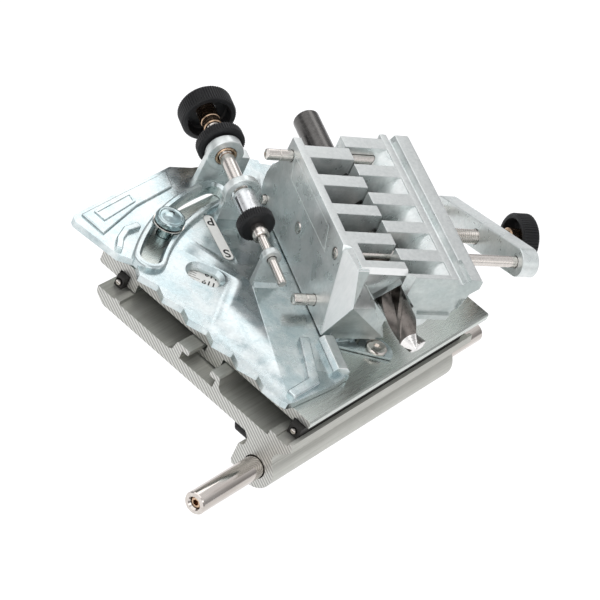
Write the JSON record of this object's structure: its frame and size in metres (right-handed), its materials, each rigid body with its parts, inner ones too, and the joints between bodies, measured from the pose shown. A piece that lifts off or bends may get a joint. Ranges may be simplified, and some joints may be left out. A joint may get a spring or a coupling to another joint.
{
  "type": "drill sharpening attachment",
  "caption": "Drill-bit sharpening fixture: sliding table on a round support bar, swivelling angle guide plate, screw feed and a parallel-jaw clamp holding a twist drill.",
  "frame": {"origin": "on the support bar's axis, at the near end face of the base extrusion", "axes": "+X along the support bar from the protruding near end to the far end, +Y across the table away from the bar, +Z normal to the table, towards the drill holder"},
  "size_m": [0.2622, 0.1999, 0.1008],
  "materials": {
    "extrusion": "matt sawn and extruded aluminium",
    "sled": "satin anodised aluminium",
    "zinc": "bright zinc-plated die casting",
    "steel": "polished ground steel",
    "bronze": "turned bronze",
    "black": "black knurled plastic",
    "dark_steel": "dark high-speed steel",
    "white": "white printed film",
    "polymer": "black slide plastic"
  },
  "bodies": {
    "bar": {"support_bar": "steel", "bar_end_screw": "dark_steel"},
    "base": {"base_extrusion": "extrusion", "slide_strip_rear": "polymer", "slide_strip_front": "polymer", "strip_screw_rear_near": "steel", "strip_screw_rear_far": "steel", "strip_screw_front_near": "steel", "strip_screw_front_far": "steel"},
    "bar_lock": {"bar_lock_screw": "steel"},
    "bar_lock_grip": {"bar_lock_knob": "black"},
    "sled": {"sled_table": "sled", "angle_scale": "white", "pivot_screw": "steel"},
    "angle_lock": {"angle_lock_stud": "steel", "angle_lock_washer": "steel"},
    "guide": {"guide_plate": "zinc", "position_label": "white", "feed_bush": "bronze"},
    "feed_carrier": {"stop_rod": "steel", "split_sleeve": "zinc", "stop_collar": "steel"},
    "feed_drive": {"feed_knob": "black", "feed_knob_hub": "bronze", "feed_screw": "steel"},
    "feed_lock": {"feed_lock_wheel": "black"},
    "stop_nut": {"stop_wheel": "black"},
    "holder": {"fixed_jaw": "zinc", "jaw_plug": "steel", "guide_rod_front": "steel", "guide_rod_rear": "steel", "clamp_yoke": "zinc"},
    "moving_jaw": {"movable_jaw": "zinc", "jaw_pin_upper": "steel", "jaw_pin_lower": "steel"},
    "clamp_drive": {"clamp_screw": "steel", "clamp_knob_hub": "bronze", "clamp_knob": "black"},
    "drill": {"drill_bit": "dark_steel"}
  },
  "joints": [
    {"name": "base_tilt", "type": "hinge", "parent": "bar", "child": "base", "pos_m": [0, 0, 0], "axis": [1, 0, 0], "range_deg": [-60, 60]},
    {"name": "bar_lock_travel", "type": "slide", "parent": "base", "child": "bar_lock", "axis": [0, 1, 0], "range_m": [0, 0.003]},
    {"name": "bar_lock_turn", "type": "hinge", "parent": "bar_lock", "child": "bar_lock_grip", "pos_m": [0.03, 0.02, 0], "axis": [0, 1, 0], "range_deg": [-15, 1365]},
    {"name": "sled_slide", "type": "slide", "parent": "base", "child": "sled", "axis": [1, 0, 0], "range_m": [-0.03, 0.03]},
    {"name": "guide_pivot", "type": "hinge", "parent": "sled", "child": "guide", "pos_m": [0.084, 0.0035, 0.038], "axis": [0, 0, 1], "range_deg": [-12.5, 14.5]},
    {"name": "angle_lock_turn", "type": "hinge", "parent": "sled", "child": "angle_lock", "pos_m": [0.04681, 0.12074, 0.04], "axis": [0, 0, 1], "range_deg": [-180, 180]},
    {"name": "feed_travel", "type": "slide", "parent": "guide", "child": "feed_carrier", "axis": [-0.515, -0.8572, 0], "range_m": [-0.0025, 0.0025]},
    {"name": "feed_turn", "type": "hinge", "parent": "feed_carrier", "child": "feed_drive", "pos_m": [0.09732, 0.12818, 0.058], "axis": [-0.515, -0.8572, 0], "range_deg": [-915, 915]},
    {"name": "feed_lock_turn", "type": "hinge", "parent": "guide", "child": "feed_lock", "pos_m": [0.09732, 0.12818, 0.058], "axis": [-0.515, -0.8572, 0], "range_deg": [-180, 180]},
    {"name": "stop_wheel_turn", "type": "hinge", "parent": "feed_carrier", "child": "stop_nut", "pos_m": [0.09732, 0.12818, 0.058], "axis": [-0.515, -0.8572, 0], "range_deg": [-180, 180]},
    {"name": "holder_slide", "type": "slide", "parent": "guide", "child": "holder", "axis": [-0.515, -0.8572, 0], "range_m": [-0.02, 0.0016]},
    {"name": "jaw_slide", "type": "slide", "parent": "holder", "child": "moving_jaw", "axis": [0.8572, -0.515, 0], "range_m": [0, 0.009]},
    {"name": "clamp_turn", "type": "hinge", "parent": "moving_jaw", "child": "clamp_drive", "pos_m": [0.19375, 0.0118, 0.0608], "axis": [0.8572, -0.515, 0], "range_deg": [-30, 2622]},
    {"name": "drill_slide", "type": "slide", "parent": "holder", "child": "drill", "axis": [-0.515, -0.8572, 0], "range_m": [-0.015, 0.004]}
  ],
  "couplings": [
    {"joint": "bar_lock_turn", "follows": "bar_lock_travel", "rad_per_m": 7854},
    {"joint": "feed_turn", "follows": "feed_travel", "rad_per_m": 6283.2},
    {"joint": "clamp_turn", "follows": "jaw_slide", "rad_per_m": 5026.5}
  ]
}
